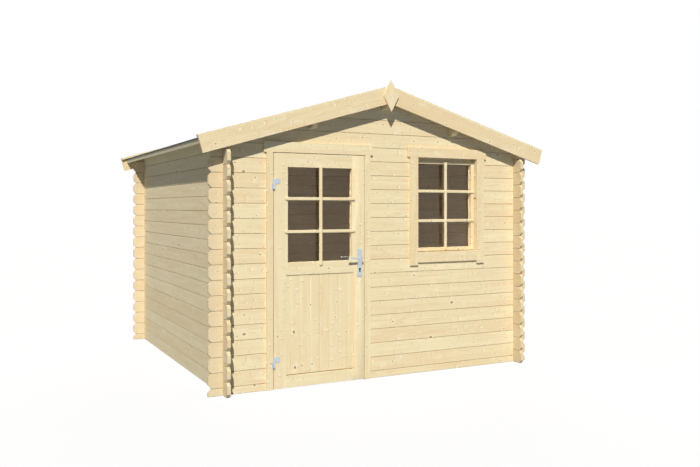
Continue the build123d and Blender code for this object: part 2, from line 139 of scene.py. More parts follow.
def bevel_edges(piece, wanted, width, segments=3):
    """Rounds the edges whose two ends satisfy a test."""
    activate(piece)
    mesh = piece.data
    bpy.context.tool_settings.mesh_select_mode = (False, True, False)
    bpy.ops.object.mode_set(mode="EDIT")
    bpy.ops.mesh.select_all(action="DESELECT")
    bpy.ops.object.mode_set(mode="OBJECT")
    for edge in mesh.edges:
        a, b = (mesh.vertices[i].co for i in edge.vertices)
        edge.select = wanted(a, b)
    bpy.ops.object.mode_set(mode="EDIT")
    bpy.ops.mesh.bevel(offset=width, segments=segments, affect="EDGES")
    bpy.ops.object.mode_set(mode="OBJECT")


def select_faces(piece, wanted):
    """Opens a piece in edit mode with only the faces selected that satisfy a test."""
    activate(piece)
    bpy.context.tool_settings.mesh_select_mode = (False, False, True)
    bpy.ops.object.mode_set(mode="EDIT")
    bpy.ops.mesh.select_all(action="DESELECT")
    bpy.ops.object.mode_set(mode="OBJECT")
    for face in piece.data.polygons:
        face.select = wanted(face)
    bpy.ops.object.mode_set(mode="EDIT")


def copies_at(model, places):
    """Copies a small piece that was modelled at the origin to each place, and removes the model."""
    copies = []
    for place in places:
        piece = bpy.data.objects.new(model.name, model.data.copy())
        bpy.context.scene.collection.objects.link(piece)
        piece.data.transform(Matrix.Translation(place))
        copies.append(piece)
    bpy.data.objects.remove(model)
    return copies


def join(name, pieces):
    """Makes several pieces one object."""
    deselect_all()
    for piece in pieces:
        piece.select_set(True)
    bpy.context.view_layer.objects.active = pieces[0]
    bpy.ops.object.join()
    pieces[0].name = name
    return pieces[0]


def linear(hex_colour):
    """An sRGB hex value as the linear colour that a shader takes."""
    channels = [int(hex_colour[i:i + 2], 16) / 255 for i in (0, 2, 4)]
    return [c / 12.92 if c <= 0.04045 else ((c + 0.055) / 1.055) ** 2.4 for c in channels] + [1]


# Materials
def add_node(tree, kind, inputs=None, **settings):
    """Adds a node. An input is a value, an output, or a node whose first output is meant."""
    node = tree.nodes.new("ShaderNode" + kind)
    for name, value in settings.items():
        setattr(node, name, value)
    for socket, value in (inputs or {}).items():
        if isinstance(value, bpy.types.Node):
            value = value.outputs[0]
        if isinstance(value, bpy.types.NodeSocket):
            tree.links.new(value, node.inputs[socket])
        else:
            node.inputs[socket].default_value = value
    return node


def new_material(name):
    """An empty material, and its tree to which nodes are added."""
    material = bpy.data.materials.new(name)
    material.use_nodes = True
    material.node_tree.nodes.clear()
    return material, material.node_tree


# Spruce: real sizes in metres
RING_SPACING = 0.0042
PIN_KNOT_CELL = 0.085
PIN_KNOT_SHARE = 0.21
PIN_KNOT_RADII = (0.003, 0.006)
KNOT_CELL = 0.2
KNOT_SHARE = 0.11
KNOT_RADII = (0.006, 0.0095)
SWIRL_LENGTH = 0.03
SWIRL_WIDTH = 0.055
SWIRL_TURN = 25
SWIRL_LIMIT = 0.645
SWIRL_EDGE = (0.12, 0.04, 0)
JOINT_SHADE = 0.003


def knots(tree, surface, cell_size, share, radii):
    """Knots scattered over a surface: how far inside a knot a point is, and how near to one."""
    smallest, largest = radii
    cells = add_node(
        tree, "TexVoronoi", {"Vector": surface, "Scale": 1 / cell_size}, voronoi_dimensions="2D"
    )
    draw = add_node(tree, "SeparateXYZ", {0: cells.outputs["Color"]}).outputs
    there = add_node(tree, "Math", {0: draw["X"], 1: share}, operation="LESS_THAN")
    distance = cells.outputs["Distance"]
    distance = add_node(tree, "Math", {0: distance, 1: cell_size}, operation="MULTIPLY")
    radius = add_node(tree, "MapRange", {"Value": draw["Y"], "To Min": smallest, "To Max": largest})
    from_pith = add_node(tree, "Math", {0: distance, 1: radius}, operation="DIVIDE")
    inside = add_node(tree, "MapRange", {"Value": from_pith, "From Min": 1.2, "From Max": 0.7})
    near = add_node(
        tree,
        "MapRange",
        {"Value": from_pith, "From Min": 4.5, "From Max": 1.0},
        interpolation_type="SMOOTHSTEP",
    )
    inside = add_node(tree, "Math", {0: inside, 1: there}, operation="MULTIPLY")
    near = add_node(tree, "Math", {0: near, 1: there}, operation="MULTIPLY")
    return inside, near


def spruce():
    """Planed spruce. Pale yellow wood with faint darker rings, small knots, and pale swirls.

    Point attributes: "grain" holds metres along, across and through each timber from its own pith,
    "board" how dark each timber is, and "edges" the metres to its two long edges and along the wall
    from the wall's middle. The face attribute "end_grain" is 1 on sawn ends, which are a little
    more yellow.
    """
    material, tree = new_material("planed spruce")
    grain = add_node(tree, "Attribute", attribute_name="grain").outputs["Vector"]
    board = add_node(tree, "Attribute", attribute_name="board").outputs["Fac"]
    end_grain = add_node(tree, "Attribute", attribute_name="end_grain").outputs["Fac"]
    edges = add_node(tree, "Attribute", attribute_name="edges").outputs["Vector"]
    part = add_node(tree, "SeparateXYZ", {0: grain}).outputs
    squeezed = add_node(tree, "Math", {0: part["X"], 1: 0.7}, operation="MULTIPLY")
    surface = add_node(tree, "CombineXYZ", {"X": squeezed, "Y": part["Y"]})

    pin_knot, near_pin_knot = knots(tree, surface, PIN_KNOT_CELL, PIN_KNOT_SHARE, PIN_KNOT_RADII)
    knot, near_knot = knots(tree, surface, KNOT_CELL, KNOT_SHARE, KNOT_RADII)

    # Grain that swirls beside a branch shows as a short pale patch, a little brown along one edge
    turned = add_node(
        tree,
        "Mapping",
        {
            "Vector": surface,
            "Rotation": (0, 0, radians(SWIRL_TURN)),
            "Scale": (1 / SWIRL_LENGTH, 1 / SWIRL_WIDTH, 1),
        },
    )
    beside = add_node(tree, "VectorMath", {0: turned, 1: SWIRL_EDGE})
    swirl = add_node(tree, "TexNoise", {"Vector": turned, "Scale": 1.0, "Detail": 1.5})
    shifted = add_node(tree, "TexNoise", {"Vector": beside, "Scale": 1.0, "Detail": 1.5})
    starts = SWIRL_LIMIT - 0.03
    swirl = add_node(
        tree,
        "MapRange",
        {"Value": swirl, "From Min": starts, "From Max": SWIRL_LIMIT + 0.09},
        interpolation_type="SMOOTHSTEP",
    )
    swirl_edge = add_node(
        tree,
        "MapRange",
        {"Value": shifted, "From Min": starts, "From Max": SWIRL_LIMIT + 0.06, "To Max": 0.5},
        interpolation_type="SMOOTHSTEP",
    )

    # Growth rings about a pith behind the face, pushed aside by the knots and swirls
    stretched = add_node(tree, "VectorMath", {0: grain, 1: (1.2, 14, 14)}, operation="MULTIPLY")
    wander = add_node(
        tree, "TexNoise", {"Vector": stretched, "Scale": 1.0, "Detail": 2.0, "Roughness": 0.45}
    )
    section = add_node(tree, "CombineXYZ", {"X": part["Y"], "Y": part["Z"]})
    radius = add_node(tree, "VectorMath", {0: section}, operation="LENGTH").outputs["Value"]
    for cause, push in ((wander, 0.03), (near_knot, 0.009), (near_pin_knot, 0.004), (swirl, 0.012)):
        radius = add_node(tree, "Math", {0: cause, 1: push, 2: radius}, operation="MULTIPLY_ADD")
    rings = add_node(tree, "Math", {0: radius, 1: RING_SPACING}, operation="DIVIDE")
    ring = add_node(tree, "Math", {0: rings}, operation="FRACT")
    late_wood = add_node(
        tree,
        "MapRange",
        {"Value": ring, "From Min": 0.35, "From Max": 1.0},
        interpolation_type="SMOOTHSTEP",
    )

    # Broad streaks along the timber, pale patches, and the fine scratches of planing
    along = add_node(tree, "VectorMath", {0: grain, 1: (1.6, 24, 24)}, operation="MULTIPLY")
    streak = add_node(
        tree, "TexNoise", {"Vector": along, "Scale": 1.0, "Detail": 3.0, "Roughness": 0.55}
    )
    blotches = add_node(tree, "VectorMath", {0: grain, 1: (9, 16, 16)}, operation="MULTIPLY")
    patch = add_node(tree, "TexNoise", {"Vector": blotches, "Scale": 1.0, "Detail": 2.0})
    fibres = add_node(tree, "VectorMath", {0: grain, 1: (30, 900, 900)}, operation="MULTIPLY")
    fibre = add_node(tree, "TexNoise", {"Vector": fibres, "Scale": 1.0, "Detail": 1.0})

    board_tone = add_node(tree, "Math", {0: board, 1: 0.22}, operation="MULTIPLY")
    tone = add_node(tree, "Math", {0: streak, 1: 0.78, 2: board_tone}, operation="MULTIPLY_ADD")
    pale = add_node(tree, "ValToRGB", {0: tone})
    ramp = pale.color_ramp
    ramp.elements[0].position = 0.3
    ramp.elements[0].color = linear("F4E7C0")
    ramp.elements[1].position = 0.72
    ramp.elements[1].color = linear("ECD6AB")
    ramp.elements.new(0.5).color = linear("F0DFB6")

    light = add_node(
        tree, "MapRange", {"Value": patch, "From Min": 0.56, "From Max": 0.74, "To Max": 0.5}
    )
    light = add_node(tree, "Math", {0: near_pin_knot, 1: 0.5, 2: light}, operation="MULTIPLY_ADD")
    light = add_node(tree, "Math", {0: near_knot, 1: 0.45, 2: light}, operation="MULTIPLY_ADD")
    ring_strength = add_node(tree, "Math", {0: late_wood, 1: 0.3}, operation="MULTIPLY")
    scratch = add_node(
        tree, "MapRange", {"Value": fibre, "From Min": 0.35, "From Max": 0.75, "To Max": 0.12}
    )
    swirl_strength = add_node(tree, "Math", {0: swirl, 1: 0.8}, operation="MULTIPLY")
    sawn = add_node(tree, "Math", {0: end_grain, 1: 0.25}, operation="MULTIPLY")
    pin_strength = add_node(tree, "Math", {0: pin_knot, 1: 0.75}, operation="MULTIPLY")
    knot_strength = add_node(tree, "Math", {0: knot, 1: 0.8}, operation="MULTIPLY")

    # Painted shade: the sides of the log ends that stand out beyond the corners are drawn a little
    # darker
    edge = add_node(tree, "SeparateXYZ", {0: edges}).outputs
    out = add_node(tree, "Math", {0: edge["Z"]}, operation="ABSOLUTE")
    side_grain = add_node(tree, "Math", {0: end_grain, 1: -0.42, 2: 0.42}, operation="MULTIPLY_ADD")
    shade_beyond_corners = add_node(
        tree,
        "MapRange",
        {"Value": out, "From Min": HALF_WALL, "From Max": HALF_WALL + 0.002, "To Max": side_grain},
    )

    # Painted shade: the hairline gap between two timbers is too narrow to render, so the shade in
    # it is painted, darkening the V joint towards it
    to_joint = add_node(tree, "Math", {0: edge["X"], 1: edge["Y"]}, operation="MINIMUM")
    joint = add_node(
        tree,
        "MapRange",
        {"Value": to_joint, "From Min": JOINT_SHADE, "From Max": 0, "To Max": 0.75},
    )

    colour = pale.outputs["Color"]
    for strength, layer_hex in (
        (light, "F7EECF"),
        (ring_strength, "DDBB88"),
        (scratch, "D9B98A"),
        (swirl_edge, "C9A46C"),
        (swirl_strength, "F9F0D1"),
        (sawn, "CFB487"),
        (pin_strength, "A5733A"),
        (knot_strength, "935F2E"),
        # painted shade on the sides of the log ends beyond the corners
        (shade_beyond_corners, "CCB99C"),
        # painted shade of the hairline gap in each joint
        (joint, "6A3D12"),
    ):
        layer = add_node(
            tree, "Mix", {0: strength, 6: colour, 7: linear(layer_hex)}, data_type="RGBA"
        )
        colour = layer.outputs[2]

    furrow = add_node(tree, "Math", {0: late_wood, 1: -0.4, 2: fibre}, operation="MULTIPLY_ADD")
    bump = add_node(tree, "Bump", {"Height": furrow, "Strength": 0.25, "Distance": 0.0004})
    shader = add_node(
        tree,
        "BsdfPrincipled",
        {"Base Color": colour, "Roughness": 0.62, "Normal": bump, "Specular IOR Level": 0.03},
    )
    add_node(tree, "OutputMaterial", {"Surface": shader})
    return material


def roofing_felt():
    """Mineral roofing felt. Black bitumen under grey slate grit: matt, and rough to the touch."""
    material, tree = new_material("mineral roofing felt")
    place = add_node(tree, "TexCoord").outputs["Object"]
    # Grit of about 1 mm, drawn at 3 mm so that it shows
    grit = add_node(tree, "TexVoronoi", {"Vector": place, "Scale": 330.0})
    tone = add_node(tree, "SeparateXYZ", {0: grit.outputs["Color"]}).outputs["X"]
    tone = add_node(tree, "Math", {0: tone, 1: 0.4}, operation="MULTIPLY")
    weather = add_node(tree, "TexNoise", {"Vector": place, "Scale": 2.5, "Detail": 4.0})
    mixed = add_node(tree, "Math", {0: weather, 1: 0.6, 2: tone}, operation="MULTIPLY_ADD")
    ramp = add_node(tree, "ValToRGB", {0: mixed})
    ramp.color_ramp.elements[0].position = 0.2
    ramp.color_ramp.elements[0].color = linear("4B4942")
    ramp.color_ramp.elements[1].position = 0.85
    ramp.color_ramp.elements[1].color = linear("79756B")
    height = grit.outputs["Distance"]
    bump = add_node(tree, "Bump", {"Height": height, "Strength": 0.5, "Distance": 0.0015})
    shader = add_node(
        tree, "BsdfPrincipled", {"Base Color": ramp, "Roughness": 0.9, "Normal": bump}
    )
    add_node(tree, "OutputMaterial", {"Surface": shader})
    return material


def brushed_metal(name, colour_hex, roughness, lines_per_metre):
    """A plated or bare metal whose fine upright brushing stretches its highlights."""
    material, tree = new_material(name)
    place = add_node(tree, "TexCoord").outputs["Object"]
    lines_each_way = (lines_per_metre, lines_per_metre, lines_per_metre / 30)
    lines = add_node(tree, "VectorMath", {0: place, 1: lines_each_way}, operation="MULTIPLY")
    line = add_node(tree, "TexNoise", {"Vector": lines, "Scale": 1.0, "Detail": 2.0})
    rough = add_node(
        tree, "MapRange", {"Value": line, "To Min": roughness - 0.06, "To Max": roughness + 0.1}
    )
    bump = add_node(tree, "Bump", {"Height": line, "Strength": 0.1, "Distance": 0.0002})
    colour = linear(colour_hex)
    shader = add_node(
        tree,
        "BsdfPrincipled",
        {"Base Color": colour, "Metallic": 1.0, "Roughness": rough, "Normal": bump},
    )
    add_node(tree, "OutputMaterial", {"Surface": shader})
    return material


def float_glass():
    """Float glass, 4 mm. Clear and smooth: it shows the dim room and a faint warm mirror image.

    Sunlight passes through it, so that the room behind the panes isn't black.
    """
    material, tree = new_material("float glass")
    tint = linear("F6F0EA")
    shader = add_node(
        tree,
        "BsdfPrincipled",
        {
            "Base Color": tint,
            "Roughness": 0.0,
            "IOR": 1.5,
            "Transmission Weight": 1.0,
            "Specular IOR Level": 0.72,
            "Specular Tint": linear("FFEDD8"),
        },
    )
    clear = add_node(tree, "BsdfTransparent", {"Color": tint})
    to_lamp = add_node(tree, "LightPath").outputs["Is Shadow Ray"]
    surface = add_node(tree, "MixShader", {0: to_lamp, 1: shader, 2: clear})
    add_node(tree, "OutputMaterial", {"Surface": surface})
    return material


def rays_that_see_the_background(tree):
    """1 for the camera's rays and for those that metal and glass send on, else 0."""
    path = add_node(tree, "LightPath").outputs
    glossy, through_glass = path["Is Glossy Ray"], path["Is Transmission Ray"]
    sent_on = add_node(tree, "Math", {0: glossy, 1: through_glass}, operation="MAXIMUM")
    return add_node(tree, "Math", {0: path["Is Camera Ray"], 1: sent_on}, operation="MAXIMUM")


def white_floor():
    """A matt floor, white to the eye with a soft shadow, and duller for the light on the walls.

    The shed has no floor of its own: the ground inside it is plain grey.
    """
    material, tree = new_material("white floor")
    place = add_node(tree, "TexCoord").outputs["Object"]
    place = add_node(tree, "SeparateXYZ", {0: place}).outputs
    across = add_node(tree, "Math", {0: place["X"]}, operation="ABSOLUTE")
    deep = add_node(tree, "Math", {0: place["Y"]}, operation="ABSOLUTE")
    from_middle = add_node(tree, "Math", {0: across, 1: deep}, operation="MAXIMUM")
    outside = add_node(tree, "Math", {0: from_middle, 1: WALL_CENTRE}, operation="GREATER_THAN")
    seen = rays_that_see_the_background(tree)
    ground = add_node(tree, "BsdfDiffuse", {"Color": linear("8C8880")})
    dull = add_node(tree, "BsdfDiffuse", {"Color": linear("93A1B1")})
    pale = add_node(tree, "BsdfDiffuse", {"Color": linear("FFFFFF")})
    glow = add_node(tree, "Emission", {"Color": linear("FFFFFF"), "Strength": 1.0})
    shown = add_node(tree, "MixShader", {0: 0.85, 1: pale, 2: glow})
    lit = add_node(tree, "MixShader", {0: seen, 1: dull, 2: shown})
    surface = add_node(tree, "MixShader", {0: outside, 1: ground, 2: lit})
    add_node(tree, "OutputMaterial", {"Surface": surface})
    return material


SPRUCE = spruce()
FELT = roofing_felt()
# Hinges, screws and nails: a cold, bluish light grey with a soft shine
ZINC = brushed_metal("zinc plated steel", "C6D0DC", 0.4, 900)
# Handles: a light grey that is less blue, brushed more finely and a little duller
HANDLE_METAL = brushed_metal("satin aluminium", "C4CDD2", 0.42, 1400)
# Lock cylinder: nearly black with a dull shine, which is painted shade for the dark keyhole
KEYHOLE_SHADE_STEEL = brushed_metal("blackened steel", "2A2724", 0.5, 900)
GLASS = float_glass()
WHITE_FLOOR = white_floor()


def dress(piece, material, body):
    """Gives a finished piece its material and the body that it rides on."""
    piece.data.materials.clear()
    piece.data.materials.append(material)
    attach(piece, body)


def loose_parts(mesh):
    """The points of each separate solid of a mesh, as lists of point numbers."""
    parent = list(range(len(mesh.vertices)))

    def root(i):
        while parent[i] != i:
            parent[i] = parent[parent[i]]
            i = parent[i]
        return i

    for edge in mesh.edges:
        a, b = root(edge.vertices[0]), root(edge.vertices[1])
        parent[a] = b
    groups = {}
    for i in range(len(parent)):
        groups.setdefault(root(i), []).append(i)
    return list(groups.values())


def run_grain(piece, along, across, jointed=False, darker=0.0):
    """Stores where each point lies in its own timber, and which faces are sawn ends.

    Each separate solid is a timber of its own, cut at another place from another tree. A jointed
    timber lies against its neighbours with both long edges.
    """
    mesh = piece.data
    through = along.cross(across)
    count = len(mesh.vertices)
    grain = [0.0] * (3 * count)
    edges = [1.0, 1.0, 0.0] * count
    board = [0.0] * count
    for part in loose_parts(mesh):
        points = [mesh.vertices[i].co for i in part]
        middle = sum(points, Vector()) / len(points)
        draw = Random(f"{piece.name} {middle.x:.2f} {middle.y:.2f} {middle.z:.2f}")
        shift = draw.uniform(0, 40)
        pith_across = draw.uniform(-0.045, 0.045)
        pith_depth = draw.choice((-1, 1)) * draw.uniform(0.03, 0.1)
        tone = draw.random() + darker
        widths = [point.dot(across) for point in points]
        lower, upper = min(widths), max(widths)
        for i, point, width in zip(part, points, widths):
            from_middle = point - middle
            grain[3 * i] = shift + point.dot(along)
            grain[3 * i + 1] = from_middle.dot(across) + pith_across
            grain[3 * i + 2] = from_middle.dot(through) + pith_depth
            board[i] = tone
            if jointed:
                edges[3 * i] = width - lower
                edges[3 * i + 1] = upper - width
                edges[3 * i + 2] = point.dot(along)
    end_grain = [float(abs(face.normal.dot(along)) > END_GRAIN_COSINE) for face in mesh.polygons]
    mesh.attributes.new("grain", "FLOAT_VECTOR", "POINT").data.foreach_set("vector", grain)
    mesh.attributes.new("edges", "FLOAT_VECTOR", "POINT").data.foreach_set("vector", edges)
    mesh.attributes.new("board", "FLOAT", "POINT").data.foreach_set("value", board)
    mesh.attributes.new("end_grain", "FLOAT", "FACE").data.foreach_set("value", end_grain)


def copy_of(node, name, rounding):
    """A merged copy of a CAD node with slightly rounded edges, which stands for the node."""
    piece = bpy.data.objects.new(name, nodes[node].data.copy())
    bpy.context.scene.collection.objects.link(piece)
    activate(piece)
    bpy.ops.object.mode_set(mode="EDIT")
    bpy.ops.mesh.select_all(action="SELECT")
    bpy.ops.mesh.remove_doubles(threshold=MERGE_DISTANCE)
    bpy.ops.mesh.dissolve_limited(angle_limit=FLAT_ANGLE)
    bpy.ops.object.mode_set(mode="OBJECT")
    if rounding:
        round_edges(piece, rounding)
    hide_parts(node)
    return piece


def timber(node, along, across, body="shed", jointed=False, darker=0.0):
    """Replaces a node by a rounded copy of it in spruce, whose grain runs along it."""
    piece = copy_of(node, node + "_timber", TIMBER_ROUNDING)
    run_grain(piece, along, across, jointed, darker)
    dress(piece, SPRUCE, body)


# Logs
for wall in ("front_wall_left", "front_wall_right", "front_gable", "back_wall"):
    for course in ("odd", "even"):
        timber(f"{wall}_{course}_logs", ALONG_X, UP, jointed=True)
for wall in ("left_wall", "right_wall"):
    for course in ("odd", "even"):
        timber(f"{wall}_{course}_logs", ALONG_Y, UP, jointed=True)

# Roof timbers and felt
DOWN_SLOPE = {
    "left": Vector((-cos(ROOF_SLOPE), 0, -sin(ROOF_SLOPE))),
    "right": Vector((cos(ROOF_SLOPE), 0, -sin(ROOF_SLOPE))),
}
ABOVE_SLOPE = {
    "left": Vector((-sin(ROOF_SLOPE), 0, cos(ROOF_SLOPE))),
    "right": Vector((sin(ROOF_SLOPE), 0, cos(ROOF_SLOPE))),
}
for side, down in DOWN_SLOPE.items():
    timber(f"{side}_bargeboards", down, ABOVE_SLOPE[side], darker=BARGEBOARD_DARKER)
    timber(f"{side}_verge_laths", down, ALONG_Y)
    timber(f"{side}_eave_batten", ALONG_Y, down)
    felt = copy_of(f"{side}_roof_felt", f"{side}_felt_sheet", 0)
    dress(felt, FELT, "shed")
timber("ridge_purlin", ALONG_Y, UP)
timber("side_purlins", ALONG_Y, UP)
timber("finials", UP, ALONG_X)

# Door frame and the boards around both openings
for node in ("door_frame_posts", "door_casings", "window_casings"):
    timber(node, UP, ALONG_X)
for node in ("door_frame_head", "door_threshold", "door_head_board"):
    timber(node, ALONG_X, UP)
for node in ("window_head_board", "window_sill_board"):
    timber(node, ALONG_X, UP)
timber("window_frame", UP, ALONG_X)
timber("window_sash", UP, ALONG_X)

# Door leaf
timber("door_stiles", UP, ALONG_X, body="door")
timber("door_rails", ALONG_X, UP, body="door")
timber("door_panel", UP, ALONG_X, body="door")

# Ironmongery and glass
for node, material, slot, body in (
    ("hinge_pins", ZINC, "zinc_plated_steel", "shed"),
    ("hinge_straps", ZINC, "zinc_plated_steel", "door"),
    ("door_handle_plates", HANDLE_METAL, "handle_metal", "door"),
    ("door_levers", HANDLE_METAL, "handle_metal", "door"),
):
    piece = copy_of(node, node + "_metal", METAL_ROUNDING)
    activate(piece)
    bpy.ops.object.shade_smooth_by_angle(angle=METAL_SMOOTH_ANGLE)
    dress(piece, material, body)
for node in ("door_glass", "window_glass"):
    for place in nodes[node].material_slots:
        place.material = GLASS


# Roof boards: each slope is a row of boards with a V joint below, under the felt
ROOF_BOARD_THICKNESS = 0.018
ROOF_BOARD_PITCH = 0.0895
ROOF_BOARD_JOINT = 0.004
ROOF_BOARD_GAP = 0.0006
boards_low, boards_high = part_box("right_roof_boards")
ridge_height = boards_high.z - ROOF_BOARD_THICKNESS / cos(ROOF_SLOPE)
slope_length = (boards_high.x - ROOF_BOARD_THICKNESS * sin(ROOF_SLOPE)) / cos(ROOF_SLOPE)


def mitre_at_ridge(piece):
    """Cuts a flat piece's upper end so that it meets the other slope over the ridge."""
    top_end = min(v.co.x for v in piece.data.vertices)
    for vertex in piece.data.vertices:
        if vertex.co.x < top_end + 0.001:
            vertex.co.x = -vertex.co.z * tan(ROOF_SLOPE)


def to_slope(piece, side):
    """Lays a flat piece on the roof. Its X is down the slope, its Z above the boards' underside."""
    ridge = Vector((0, 0, ridge_height))
    for vertex in piece.data.vertices:
        along, y, above = vertex.co
        vertex.co = ridge + along * DOWN_SLOPE[side] + above * ABOVE_SLOPE[side] + y * ALONG_Y
    if side == "left":
        piece.data.flip_normals()


def roof_boards(side):
    """One slope's boards, side by side from the front to the back."""
    length = boards_high.y - boards_low.y
    count = floor(length / ROOF_BOARD_PITCH)
    pitch = length / count
    low = (0, ROOF_BOARD_GAP, 0)
    high = (slope_length, pitch - ROOF_BOARD_GAP, ROOF_BOARD_THICKNESS)
    board = block("roof_board", low, high)
    mitre_at_ridge(board)

    def long_and_below(a, b):
        return max(a.z, b.z) < 0.001 and abs(a.y - b.y) < 0.001

    bevel_edges(board, long_and_below, ROOF_BOARD_JOINT, 1)
    places = [(0, boards_low.y + i * pitch, 0) for i in range(count)]
    row = join(f"{side}_roof_boards_timber", copies_at(board, places))
    to_slope(row, side)
    run_grain(row, DOWN_SLOPE[side], ALONG_Y, jointed=True)
    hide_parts(f"{side}_roof_boards")
    dress(row, SPRUCE, "shed")


for side in DOWN_SLOPE:
    roof_boards(side)


# Glazing bars: rounded strips on the sash's outer face, halved into each other where they cross
BAR_WIDTH = 0.025
BAR_THICKNESS = 0.012
BAR_END_ROUNDING = 0.012
BAR_EDGE_ROUNDING = 0.004
BAR_JOINT = 0.0003
PANE_HOUSING = 0.008
DOOR_BAR_HEIGHTS = (1.474, 1.2175)
WINDOW_BAR_HEIGHTS = (1.546, 1.292)


def glazing_bar(upright, middle, start, end, face, round_start=True, round_end=True):
    """A bar along Z (upright) or X, from start to end, that lies on the sash's outer face."""
    def corner(across, along, y):
        return (across, y, along) if upright else (along, y, across)

    front = face - BAR_THICKNESS
    low = corner(middle - BAR_WIDTH / 2, start, front)
    high = corner(middle + BAR_WIDTH / 2, end, face)
    bar = block("glazing_bar", low, high)
    along_axis = 2 if upright else 0
    rounded_ends = [tip for tip, wanted in ((start, round_start), (end, round_end)) if wanted]
    square_ends = [tip for tip in (start, end) if tip not in rounded_ends]

    def at(value, a, b):
        return abs(a - value) < MERGE_DISTANCE and abs(b - value) < MERGE_DISTANCE

    def at_rounded_end(a, b):
        at_end = any(at(tip, a[along_axis], b[along_axis]) for tip in rounded_ends)
        return at_end and abs(a.y - b.y) > BAR_THICKNESS / 2

    def on_front(a, b):
        at_square_end = any(at(tip, a[along_axis], b[along_axis]) for tip in square_ends)
        return at(front, a.y, b.y) and not at_square_end

    bevel_edges(bar, at_rounded_end, BAR_END_ROUNDING, 5)
    bevel_edges(bar, on_front, BAR_EDGE_ROUNDING, 3)
    run_grain(bar, UP if upright else ALONG_X, ALONG_X if upright else UP)
    return bar


def glazing_bars(name, body, sash_node, glass_node, bar_heights, side_lap, foot_lap, head_lap):
    """The bars on a sash's outer face: one upright in the middle and two across it.

    Each bar laps over the wood around the opening, which is the pane without what its grooves hold.
    """
    low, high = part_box(glass_node)
    start, end = low.x + PANE_HOUSING - side_lap, high.x - PANE_HOUSING + side_lap
    foot, head = low.z + PANE_HOUSING - foot_lap, high.z - PANE_HOUSING + head_lap
    middle = (low.x + high.x) / 2
    joint = BAR_WIDTH / 2 + BAR_JOINT
    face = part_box(sash_node)[0].y
    bars = [glazing_bar(True, middle, foot, head, face)]
    for height in bar_heights:
        bars.append(glazing_bar(False, height, start, middle - joint, face, round_end=False))
        bars.append(glazing_bar(False, height, middle + joint, end, face, round_start=False))
    dress(join(name, bars), SPRUCE, body)


glazing_bars(
    "door_bars",
    "door",
    "door_stiles",
    "door_glass",
    DOOR_BAR_HEIGHTS,
    side_lap=0.026,
    foot_lap=0.032,
    head_lap=0.02,
)
glazing_bars(
    "window_bars",
    "shed",
    "window_sash",
    "window_glass",
    WINDOW_BAR_HEIGHTS,
    side_lap=0.028,
    foot_lap=0.021,
    head_lap=0.024,
)


# Felt: a ridge sheet laps over the sheets below it, held by broad-headed clout nails
FELT_TOP = 0.021
RIDGE_SHEET_THICKNESS = 0.0025
RIDGE_SHEET_REACH = 0.7
RIDGE_SHEET_ROUNDING = 0.001
SHEET_CLEARANCE = 0.001
VERGE_LATH_WIDTH = 0.044
CLOUT_SPACING = 0.1
CLOUT_RADIUS = 0.005
CLOUT_HEIGHT = 0.0012
CLOUT_INSET = 0.025
sheet_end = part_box("right_verge_laths")[1].y - VERGE_LATH_WIDTH - SHEET_CLEARANCE


def clout_row(along, above):
    """Clout nails in a row from the front to the back, on a flat sheet with X down the slope."""
    deselect_all()
    bpy.ops.mesh.primitive_cylinder_add(vertices=10, radius=CLOUT_RADIUS, depth=CLOUT_HEIGHT)
    clout = bpy.context.object
    clout.name = "clout"
    bevel_edges(clout, lambda a, b: a.z > 0 and b.z > 0, CLOUT_HEIGHT / 2, 2)
    last = sheet_end - CLOUT_INSET
    count = floor(2 * last / CLOUT_SPACING) + 1
    height = above + CLOUT_HEIGHT / 2
    places = [(along, last * (2 * i / (count - 1) - 1), height) for i in range(count)]
    return copies_at(clout, places)


def felt_laps(side):
    """The ridge sheet's half on one slope, and the nails along its edge and along the eave."""
    sheet_top = FELT_TOP + RIDGE_SHEET_THICKNESS
    low = (0, -sheet_end, FELT_TOP)
    high = (RIDGE_SHEET_REACH, sheet_end, sheet_top)
    sheet = block(f"{side}_ridge_sheet", low, high)
    mitre_at_ridge(sheet)

    def at_lower_edge(a, b):
        return min(a.z, b.z) > sheet_top - MERGE_DISTANCE and min(a.x, b.x) > RIDGE_SHEET_REACH / 2

    bevel_edges(sheet, at_lower_edge, RIDGE_SHEET_ROUNDING, 2)
    to_slope(sheet, side)
    dress(sheet, FELT, "shed")
    nails = clout_row(RIDGE_SHEET_REACH - CLOUT_INSET, sheet_top)
    nails += clout_row(slope_length - CLOUT_INSET, FELT_TOP)
    row = join(f"{side}_felt_clouts", nails)
    to_slope(row, side)
    dress(row, ZINC, "shed")


for side in DOWN_SLOPE:
    felt_laps(side)


# Screws of the hinges and handle plates, and the ends of the lock cylinder
SCREW_HEIGHT = 0.0009
SCREW_RECESS = 0.0006
HINGE_SCREW_RADIUS = 0.0032
PLATE_SCREW_RADIUS = 0.0038
HINGE_HEIGHTS = (0.213, 1.587)
HINGE_PLATE_THICKNESS = 0.003
STRAP_HALF_HEIGHT = 0.02
STRAP_SCREWS = ((0.009, 0.01), (0.009, -0.01), (0.029, 0))
PIN_SCREW_INSET = 0.006
PIN_SCREW_RISES = (0.01, -0.012)
PLATE_SCREW_INSET = 0.012
CYLINDER_MIDDLE = 0.906
CYLINDER_RADIUS = 0.0085
CYLINDER_WEB_HALF_WIDTH = 0.005
CYLINDER_FOOT = 0.8817
CYLINDER_FOOT_ROUNDING = 0.0045
CYLINDER_PROUD = 0.0012
CYLINDER_ROUNDING = 0.0002
KEY_SLOT_HALF_WIDTH = 0.0008
KEY_SLOT_HALF_HEIGHT = 0.0042


